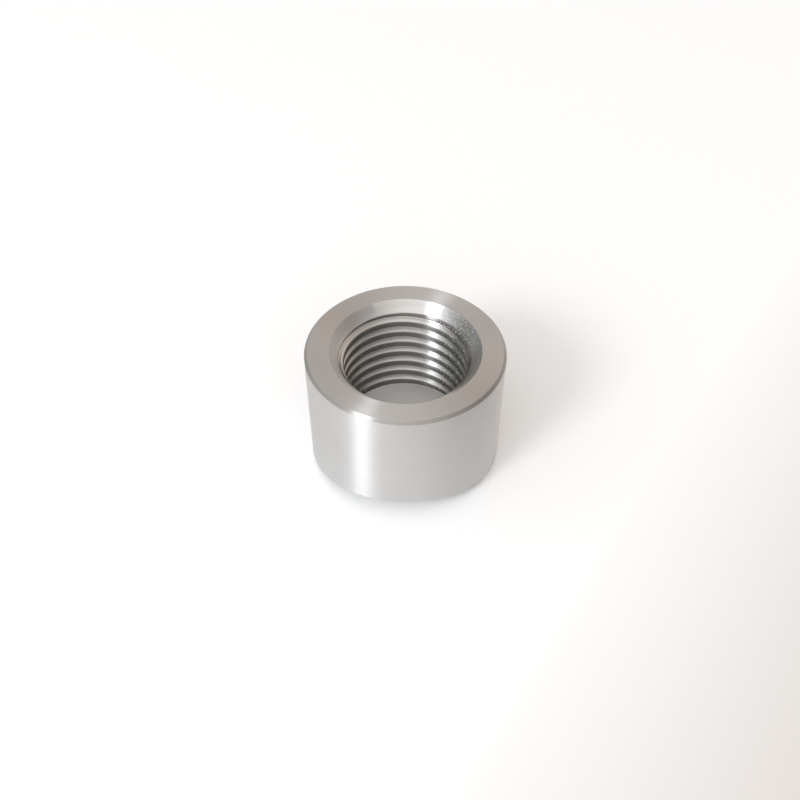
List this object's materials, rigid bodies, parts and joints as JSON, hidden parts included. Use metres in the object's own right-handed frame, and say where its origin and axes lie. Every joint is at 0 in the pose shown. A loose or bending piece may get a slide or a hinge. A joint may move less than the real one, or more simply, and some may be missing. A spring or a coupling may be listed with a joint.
{
  "type": "oxygen sensor bung",
  "caption": "Weld-on steel ring with a tapped bore, a countersunk flat mouth and a foot coped to fit a round exhaust pipe.",
  "frame": {"origin": "centre of the foot, on the level of its two lowest points", "axes": "+Z along the bore, out of the countersunk mouth; Y along the pipe that the foot fits"},
  "size_m": [0.0178, 0.0178, 0.012],
  "materials": {
    "turned_steel": "bare, satin from the turning tool"
  },
  "bodies": {
    "root": {"weld_bung": "turned_steel"}
  },
  "joints": []
}
